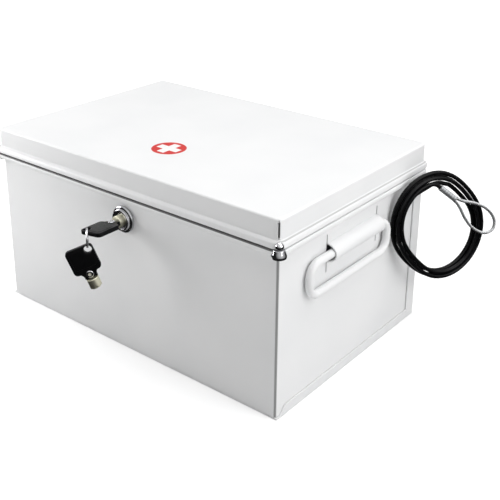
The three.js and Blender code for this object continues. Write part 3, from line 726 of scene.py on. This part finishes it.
class STEELBOX_OT_camera(BoxOperator):
    """Sets the camera at the photograph's viewing angle"""

    bl_idname = "steelbox.camera"
    bl_label = "Camera"

    def execute(self, context):
        s = context.scene.steelbox_camera
        level = math.cos(s.elevation)
        forward = Vector((
            -math.sin(s.azimuth) * level, math.cos(s.azimuth) * level, -math.sin(s.elevation),
        ))
        data = bpy.data.cameras.new("camera")
        data.lens = s.lens
        data.sensor_width = 36.0
        data.shift_y = s.shift_y
        data.clip_start = 0.01
        data.clip_end = 50.0
        camera = linked("camera", data)
        camera.location = s.place
        camera.rotation_mode = "QUATERNION"
        camera.rotation_quaternion = forward.to_track_quat("-Z", "Y") @ Quaternion((0, 0, 1), s.roll)
        context.scene.camera = camera
        return {"FINISHED"}


class CablePath:
    """The cable's route: lead, coil, ferrule and eye, from the same values as the solids."""

    def __init__(self, s):
        self.right = Vector((math.sin(s.turn), math.cos(s.turn), 0))
        self.out = Vector((math.cos(s.turn), -math.sin(s.turn), 0))
        self.centre = Vector(s.centre)
        windings = self.windings(s)
        inner = self.right * math.cos(s.start) + UP * math.sin(s.start)
        back = (windings[0] - windings[1]).normalized()
        back = (back - inner * s.inward - self.out * s.inward).normalized()
        coil_start = windings[0] + back * 2 * s.radius
        self.ferrule_start = self.at(-0.0055, 0.0376, 0.0042)
        self.way = (self.at(0.8, -0.7, 0.33) - self.centre).normalized()
        side = self.way.cross(self.out).normalized()
        self.coil = catmull([
            coil_start, *windings, self.at(-0.0184, 0.041, 0.0023), self.at(-0.013, 0.0415, 0.0027),
            self.ferrule_start - self.way * (SEAT + 2 * s.radius), self.ferrule_start - self.way * SEAT,
        ], 3)
        end = coil_start + back * SEAT
        anchor = Vector(s.anchor)
        panel_face = 0.150
        exit_place = Vector((panel_face, anchor.y, anchor.z))
        self.lead = catmull([
            anchor, exit_place, exit_place + Vector((0.003, 0, 0)), self.at(-0.0115, 0.032, -0.0094),
            self.at(-0.003, 0.037, -0.006), end + back * 2 * s.radius, end,
        ], 6)
        base = self.ferrule_start + self.way * (s.ferrule + SEAT)
        spread = [
            (0, 0.16), (0.05, 0.16), (0.16, 0.3), (0.36, 0.72), (0.58, 1), (0.78, 0.96), (0.93, 0.62), (1, 0),
        ]
        legs = spread + [(far, -wide) for far, wide in spread[-2::-1]]
        self.eye = catmull([
            base + self.way * far * s.eye_length + side * wide * s.eye_width / 2 for far, wide in legs
        ], 8)

    def at(self, u, v, w):
        """A place given in the coil's plane, from its middle, and outwards from that plane."""
        return self.centre + self.right * u + UP * v + self.out * w

    def windings(self, s):
        """Winds inwards through one layer, steps over, and winds outwards through the next."""
        total = s.turns * math.tau
        middle = total / 2
        count = round(s.turns * s.steps)
        made = []
        for i in range(count + 1):
            turn = i / count * total
            climb = min(max((turn - middle) / math.pi + 0.5, 0), 1)
            angle = s.start - turn
            radius = s.outer - s.pitch * abs(turn - middle) / math.tau - s.oval * math.sin(2 * angle)
            made.append(self.at(radius * math.cos(angle), radius * math.sin(angle), s.pitch * (climb - 0.5)))
        return made


class STEELBOX_OT_cable(BoxOperator):
    """Lays the cable with its ferrule and its wire rope eye"""

    bl_idname = "steelbox.cable"
    bl_label = "Cable"

    def execute(self, context):
        s = context.scene.steelbox_cable
        finish = context.scene.steelbox_finish
        path = CablePath(s)
        vinyl = moulded("black_vinyl", finish.vinyl, roughness=0.3, scale=260.0, depth=0.00003, gloss=0.13)
        lead = curve_piece("lead_line", path.lead, s.radius, vinyl)
        coil = curve_piece("coil_line", path.coil, s.radius, vinyl)
        attach(lead, "base", "black_vinyl", "cable_lead")
        attach(coil, "base", "black_vinyl", "cable_coil")
        # The rope gets painted shade in the hollows between its strands.
        rope = zinc("wire_rope", finish.rope, roughness=0.36, groove_shade=s.ring + 0.72 * s.strand)
        eye = attach(self.eye(s, path, rope), "base", "wire_rope", "cable_eye")
        crimped = zinc("crimped_zinc", finish.crimped, roughness=0.55)
        sleeve = attach(self.sleeve(s, path, crimped), "base", "plated_steel", "cable_ferrule")
        dress(zinc("anchor_sleeve", finish.zinc), "cable_stop")
        return {"FINISHED"}

    def eye(self, s, path, rope):
        """A bare rope of six strands laid round a core."""
        line = curve_piece("eye_path", path.eye, 0.0, None)
        rope_tree().use(line, Strand=s.strand, Ring=s.ring, Lay=s.lay, Material=rope)
        return baked("rope_eye", line)

    def sleeve(self, s, path, crimped):
        """A sleeve pressed flat-sided onto the rope, with the press's cross marks."""
        length = s.ferrule * MM_PER_M
        mouth, body, mark, ridge, chamfer = 2.2, 2.55, 2.5, 2.68, 0.25
        profile = [(0, 0), (mouth, 0), (body, chamfer)]
        marks = 7
        for i in range(marks):
            middle = length * (i + 0.5) / marks
            profile += [
                (ridge, middle - 0.8), (ridge, middle + 0.6), (mark, middle + 0.85), (mark, middle + 1.1),
            ]
        profile = profile[:-2] + [(body, length - chamfer), (mouth, length), (0, length)]

        def pressed(radius, height, angle):
            return radius * (1 - 0.07 * abs(math.sin(angle)) ** 6), height

        turn = aimed(path.ferrule_start, path.way)
        return lathe("crimped_sleeve", profile, crimped, turn, closed=False, shape=pressed)


class STEELBOX_OT_paint(BoxOperator):
    """Gives the folded sheets their powder coat, with painted shade along the body's folds, the lid's corner
    seams and the creases at the rim
    """

    bl_idname = "steelbox.paint"
    bl_label = "Painted Sheets"

    def execute(self, context):
        s = context.scene.steelbox_paint
        # Painted shade: dark lines along the body's folds and the lid's seams, and shade in the creases at
        # the lid's rim.
        body = powder_coat(
            "powder_coat", (painted_corner_shade, s.fold, s.fold_shade_tone), (crease_line, s.bead_crease, s.bead_tone),
        )
        lid = powder_coat(
            "powder_coat_lid", (painted_corner_shade, s.seam, s.seam_shade_tone), (crease_line, s.rim_crease, s.rim_tone),
            (sign_disc, context.scene.steelbox_sign),
        )
        dress(body, "body_wrap")
        dress(powder_coat("powder_coat_base"), "base_back_sheet")
        dress(lid, "lid_shell")
        return {"FINISHED"}


class STEELBOX_OT_bails(BoxOperator):
    """Bends the two bail handles"""

    bl_idname = "steelbox.bails"
    bl_label = "Bail Handles"

    def execute(self, context):
        s = context.scene.steelbox_bails
        pivot_x, _, pivot_z = s.pivot
        near, far, low, high = s.near + s.bend, s.far - s.bend, s.low + s.bend, pivot_z - s.bend
        outline = [
            (s.near + s.stub, pivot_z), *arc(near, high, s.bend, 90, 180, 10),
            *arc(near, low, s.bend, 180, 270, 10), *arc(far, low, s.bend, 270, 360, 10),
            *arc(far, high, s.bend, 0, 90, 10), (s.far - s.stub, pivot_z),
        ]
        coat = powder_coat("powder_coat_bail")
        for side, sign in (("right", 1), ("left", -1)):
            points = [Vector((sign * pivot_x, y, z)) for y, z in outline]
            piece = curve_piece(f"bent_bail_{side}", points, s.rod, coat, sides=8)
            attach(piece, f"{side}_bail", "white_steel", f"bail_{side}")
        return {"FINISHED"}


class STEELBOX_OT_lock(BoxOperator):
    """Turns the lock's barrel and plug and dresses its inner parts"""

    bl_idname = "steelbox.lock"
    bl_label = "Lock"

    def execute(self, context):
        s = context.scene.steelbox_lock
        finish = context.scene.steelbox_finish
        chrome = polished("chrome", finish.chrome, roughness=0.06)
        turn = aimed(s.place, (0, 1, 0))
        shell = lathe("lock_shell", self.barrel(s), chrome, turn, 96)
        attach(shell, "base", "chrome", "lock_barrel")
        core = lathe("lock_core", self.plug(), chrome, turn, closed=False)
        attach(core, "lock_rotor", "chrome", "lock_plug")
        dress(zinc("zinc", finish.zinc), "lock_nut", "lock_cam", "cam_screw", "lid_strike")
        return {"FINISHED"}

    def barrel(self, s):
        """The bezel with its raised rim, and the threaded barrel behind it."""
        crest, root, start, end = 9.5, 9.1, 1.2, 15.4
        profile = [
            (6.8, -5), (8.25, -5), (8.5, -4.94), (8.7, -4.78), (8.8, -4.5), (8.8, -3.15), (8.95, -2.9),
            (9.6, -2.8), (10.1, -2.7), (10.6, -2.45), (10.9, -2.1), (11, -1.7), (11, -0.3), (crest, -0.3),
            (crest, start),
        ]
        pitch = s.thread * MM_PER_M
        height = start
        while height + pitch < end:
            profile += [(root, height + 0.4 * pitch), (root, height + 0.6 * pitch), (crest, height + pitch)]
            height += pitch
        return profile + [(root, 16), (6.8, 16)]

    def plug(self):
        """The keyway round its post in front, and the stem for the cam behind."""
        return [
            (0, -3.9), (3.0, -3.9), (3.3, -3.6), (3.3, 0.6), (5.1, 0.6), (5.1, -4.25), (5.25, -4.4),
            (6.3, -4.4), (6.5, -4.2), (6.5, 16.4), (4, 16.4), (4, 18.2), (1.9, 18.2), (1.9, 12.7), (0, 12.7),
        ]


class STEELBOX_OT_keys(BoxOperator):
    """Makes the two keys and the split ring that joins them"""

    bl_idname = "steelbox.keys"
    bl_label = "Keys"

    def execute(self, context):
        s = context.scene.steelbox_keys
        finish = context.scene.steelbox_finish
        self.plastic = moulded(
            "black_plastic", finish.plastic, roughness=0.34, scale=600.0, depth=0.00004, gloss=0.14,
        )
        self.nickel = polished("nickel", finish.nickel, roughness=0.42, cloud=0.1)
        self.bright = polished("bright_wire", finish.bright_wire, roughness=0.08)
        first = Matrix.Translation(Vector(context.scene.steelbox_lock.place) - Vector((0, s.reach, 0)))
        first = first @ Matrix.Rotation(math.pi / 2, 4, "X") @ Matrix.Rotation(math.pi + s.roll, 4, "Z")
        hole = Vector((s.hole_across, 0, s.hole_along))
        along = Vector((math.cos(s.ring_turn), math.sin(s.ring_turn), 0))
        across = Vector((-along.y, along.x, 0))
        middle = first @ hole + along * s.ring_reach - UP * s.ring_drop
        bow = s.ring_radius - math.sqrt(s.ring_radius ** 2 - (s.thick / 2) ** 2)
        sag = s.hole - s.ring_wire - bow - SEAT
        hung = Matrix((across, -along, UP)).transposed().to_4x4() @ Matrix.Rotation(-s.hang, 4, "Y")
        place = middle - UP * (s.ring_radius + sag) - hung @ hole
        self.key(s, "key_1", "key_one", first)
        self.key(s, "key_2", "key_two", Matrix.Translation(place) @ hung)
        attach(self.ring(s, middle, along, across), "ring", "chrome", "key_ring")
        return {"FINISHED"}

    def key(self, s, name, body, turn):
        top = -s.head / 2 - s.neck - SEAT
        rivet_reach = 0.0041
        rivet = top + rivet_reach
        head = plate(
            f"{name}_moulded_head", self.head_outlines(s, rivet), s.thick - 0.0003, 0.0006, self.plastic,
            turn,
        )
        raised = plate(f"{name}_raised_panel", [self.panel_outline(s)], s.thick, 0.0003, self.plastic, turn)
        attach(head, body, "black_plastic", f"{name}_head")
        attach(raised, body, "black_plastic", f"{name}_head")
        lip = [(1.25, -2.68), (1.7, -2.7), (2.4, -2.64), (2.9, -2.45), (3.1, -2.2), (2.0, -2.2)]
        lip += [(radius, -height) for radius, height in reversed(lip)]
        across = turn @ Matrix.Translation((0, 0, rivet)) @ Matrix.Rotation(-math.pi / 2, 4, "X")
        attach(lathe(f"{name}_eyelet", lip, self.bright, across, 48), body, "chrome", f"{name}_rivet")
        attach(self.stem(s, name, turn, top), body, "nickel", f"{name}_stem")

    def head_outlines(self, s, rivet):
        """A square head that narrows to its neck, with the holes for the ring and the eyelet."""
        half = s.head / 2
        inner = half - s.corner
        waist = [(0.0066, 0.0002), (0.0056, 0.0014), (0.005, 0.003), (0.005, s.neck)]
        outline = [
            *arc(inner, inner, s.corner, 0, 90), *arc(-inner, inner, s.corner, 90, 180),
            *arc(-inner, -inner, s.corner, 180, 252), *[(-wide, -half - down) for wide, down in waist],
            *[(wide, -half - down) for wide, down in reversed(waist)],
            *arc(inner, -inner, s.corner, 288, 360),
        ]
        ring_hole = arc(s.hole_across, s.hole_along, s.hole, 0, 345, 23)
        return [outline, ring_hole, arc(0, rivet, 0.0023, 0, 345, 23)]

    def panel_outline(self, s):
        """The raised panel, which leaves room round the ring's hole."""
        margin, corner, rise, gap = 0.0021, 0.0025, 0.002, 0.0006
        edge = s.head / 2 - margin
        field = edge - corner
        foot = -field + rise
        room = s.hole + gap
        right = -math.degrees(math.acos((edge - s.hole_across) / room))
        left = -180 - math.degrees(math.asin((edge - s.hole_along) / room))
        return [
            *arc(s.hole_across, s.hole_along, room, right, left, 16), *arc(-field, field, corner, 90, 180),
            *arc(-field, foot, corner, 180, 270), *arc(field, foot, corner, 270, 360),
        ]

    def stem(self, s, name, turn, top):
        """A tube whose rim carries seven cuts of unlike depth, and the tongue that the head is riveted to."""
        outer, wall = s.tube * MM_PER_M, s.wall * MM_PER_M
        high, end = top * MM_PER_M, (top - s.length) * MM_PER_M
        profile = [
            (0, high), (outer - 0.3, high), (outer, high - 0.3), (outer, end + 2.6), (outer, end + 1.5),
            (outer, end + 0.2), (outer - 0.2, end), (outer - wall + 0.1, end), (outer - wall, end + 0.1),
            (outer - wall, high - 3), (0, high - 3),
        ]
        depths = (1.6, 0.7, 2.1, 1.1, 1.8, 0.5, 1.3)
        inset = 0.0006

        def cuts(radius, height, angle):
            share = angle / math.tau * len(depths)
            floor = (end + depths[int(share) % len(depths)]) / MM_PER_M
            if radius > s.tube - 0.0005 and 0.3 < share % 1 < 0.7 and height < floor:
                return s.tube - inset, height
            return radius, height

        tube = lathe(f"{name}_tube", profile, self.nickel, turn, 84, closed=False, shape=cuts, degrees=30)
        work = bmesh.new()
        work.from_mesh(tube.data)
        tongue = bmesh.ops.create_cube(work, size=1.0)["verts"]
        middle, size = 0.0055, (0.006, 0.0018, 0.0129)
        place = turn @ Matrix.Translation((0, 0, top + middle)) @ Matrix.Diagonal((*size, 1))
        bmesh.ops.transform(work, verts=tongue, matrix=place)
        work.to_mesh(tube.data)
        work.free()
        return tube

    def ring(self, s, middle, along, across):
        """Round wire wound twice, its ends sprung flat against the windings."""
        steps = 120
        start = math.radians(40)
        wire = s.ring_wire / 2
        points = []
        for i in range(steps + 1):
            share = i / steps
            angle = start + share * s.ring_turns * math.tau
            step = min(max((share - 0.46) / 0.08, 0), 1)
            step = step * step * (3 - 2 * step)
            round_about = along * math.cos(angle) + UP * math.sin(angle)
            points.append(middle + round_about * s.ring_radius + across * wire * 1.02 * (2 * step - 1))
        return curve_piece("split_ring", points, wire * 0.98, self.bright)


class STEELBOX_OT_hinge(BoxOperator):
    """Dresses the hinge and rivets its leaves"""

    bl_idname = "steelbox.hinge"
    bl_label = "Hinge"

    def execute(self, context):
        s = context.scene.steelbox_hinge
        steel = zinc("hinge_zinc", context.scene.steelbox_finish.zinc)
        dress(steel, "hinge_leaf_body", "hinge_leaf_lid", "hinge_pin")
        tree = row_tree()
        reach = Vector((s.reach, 0, 0))
        dome = [(0, 0.95), (0.9, 0.9), (1.7, 0.72), (2.3, 0.4), (2.5, 0.02), (0, 0.02)]
        for body, place in (("base", Vector(s.body_place)), ("lid", Vector(s.lid_place))):
            rivet = lathe("rivet", dome, steel, aimed((0, 0, 0), (0, 1, 0)), 32, closed=False)
            line = linked("rivet_line", bpy.data.meshes.new("rivet_line"))
            tree.use(
                line, Piece=rivet, Count=s.rivets, Start=place - reach, End=place + reach, Material=steel,
            )
            attach(baked(f"hinge_rivets_{body}", line), body, "plated_steel")
            bpy.data.objects.remove(rivet)
        return {"FINISHED"}


class STEELBOX_OT_trim(BoxOperator):
    """Gives the corner caps and the grommet their plating and rubber"""

    bl_idname = "steelbox.trim"
    bl_label = "Corner Caps and Grommet"

    def execute(self, context):
        finish = context.scene.steelbox_finish
        caps = [f"{owner}_corner_cap_{side}" for owner in ("body", "lid") for side in ("right", "left")]
        dress(polished("cap_chrome", finish.cap_chrome, roughness=0.05), *caps)
        rubber = moulded("black_rubber", finish.rubber, roughness=0.7, scale=500.0, depth=0.00004)
        dress(rubber, "cable_grommet")
        return {"FINISHED"}


class STEELBOX_OT_stage(BoxOperator):
    """Adds the floor, the background and the lights"""

    bl_idname = "steelbox.stage"
    bl_label = "Stage"

    def execute(self, context):
        s = context.scene.steelbox_stage
        self.floor(s)
        context.scene.world = self.world()
        for name, (place, size) in LAMPS.items():
            self.light(name, place, size, getattr(s, name), s.aim)
        context.scene.view_settings.view_transform = "Standard"
        return {"FINISHED"}

    def floor(self, s):
        """A pale floor that keeps the box's shadow and fades to white away from it, to the camera alone."""
        half_side, gap = 6.0, 0.0002
        mesh = bpy.data.meshes.new("floor")
        sheet = bmesh.new()
        bmesh.ops.create_grid(sheet, x_segments=1, y_segments=1, size=half_side)
        sheet.to_mesh(mesh)
        sheet.free()
        paper = Shader("pale_floor", s.floor_tone, Roughness=0.9, Emission_Strength=s.glow)
        x, y, _ = paper.coordinates("Object")
        seen = Value(paper, paper.node("ShaderNodeLightPath").outputs["Is Camera Ray"])
        glow = paper.range((x * x + y * y).root(), 0.3, 1.0, 0.45, 1.0) * seen
        paper.feed(paper.surface["Emission Color"], paper.mix(glow, (0, 0, 0), (1, 1, 1)))
        mesh.materials.append(paper.material)
        floor = linked("floor", mesh)
        floor.location.z = -gap
        floor.visible_glossy = False

    def world(self):
        """White to the camera; bright above and behind, darker in front, and darker still to bright metal."""
        shader = WorldShader("studio")
        soft = shader.slope(level=0.2, ways=(0.15, 0.36, 0.2)).larger(0.0)
        glossy = shader.slope(level=-0.1, ways=(0.6, 0.0, 1.8)).larger(0.02).smaller(1.0)
        shader.finish(soft, glossy)
        return shader.world

    def light(self, name, place, size, power, aim):
        data = bpy.data.lights.new(name, "AREA")
        data.size = size
        data.energy = power
        lamp = linked(name, data)
        lamp.location = place
        lamp.rotation_mode = "QUATERNION"
        lamp.rotation_quaternion = (Vector(aim) - Vector(place)).to_track_quat("-Z", "Y")


class STEELBOX_PT_panel(bpy.types.Panel):
    """The box's pieces and their settings"""

    bl_idname = "STEELBOX_PT_panel"
    bl_label = "Steel Box"
    bl_space_type = "VIEW_3D"
    bl_region_type = "UI"
    bl_category = "Steel Box"

    def draw(self, context):
        for operator in OPERATORS:
            self.layout.operator(operator.bl_idname)
        for name, kind in SETTINGS.items():
            rows = self.layout.box()
            for key in kind.__annotations__:
                rows.prop(getattr(context.scene, name), key)


SETTINGS = {
    "steelbox_camera": CameraSettings,
    "steelbox_folds": FoldSettings,
    "steelbox_finish": FinishSettings,
    "steelbox_sign": SignSettings,
    "steelbox_paint": PaintSettings,
    "steelbox_cable": CableSettings,
    "steelbox_bails": BailSettings,
    "steelbox_lock": LockSettings,
    "steelbox_keys": KeySettings,
    "steelbox_hinge": HingeSettings,
    "steelbox_stage": StageSettings,
}
OPERATORS = (
    STEELBOX_OT_camera, STEELBOX_OT_cable, STEELBOX_OT_paint, STEELBOX_OT_bails, STEELBOX_OT_lock,
    STEELBOX_OT_keys, STEELBOX_OT_hinge, STEELBOX_OT_trim, STEELBOX_OT_stage,
)
CLASSES = (*SETTINGS.values(), *OPERATORS, STEELBOX_PT_panel)
TREES = {}


def register():
    for kind in CLASSES:
        bpy.utils.register_class(kind)
    for name, kind in SETTINGS.items():
        setattr(bpy.types.Scene, name, bpy.props.PointerProperty(type=kind))


def unregister():
    for name in SETTINGS:
        delattr(bpy.types.Scene, name)
    for kind in reversed(CLASSES):
        bpy.utils.unregister_class(kind)


def main():
    register()
    TREES["folds"] = folds_tree()
    for operator in OPERATORS:
        group, name = operator.bl_idname.split(".")
        getattr(getattr(bpy.ops, group), name)()


if __name__ == "__main__":
    main()
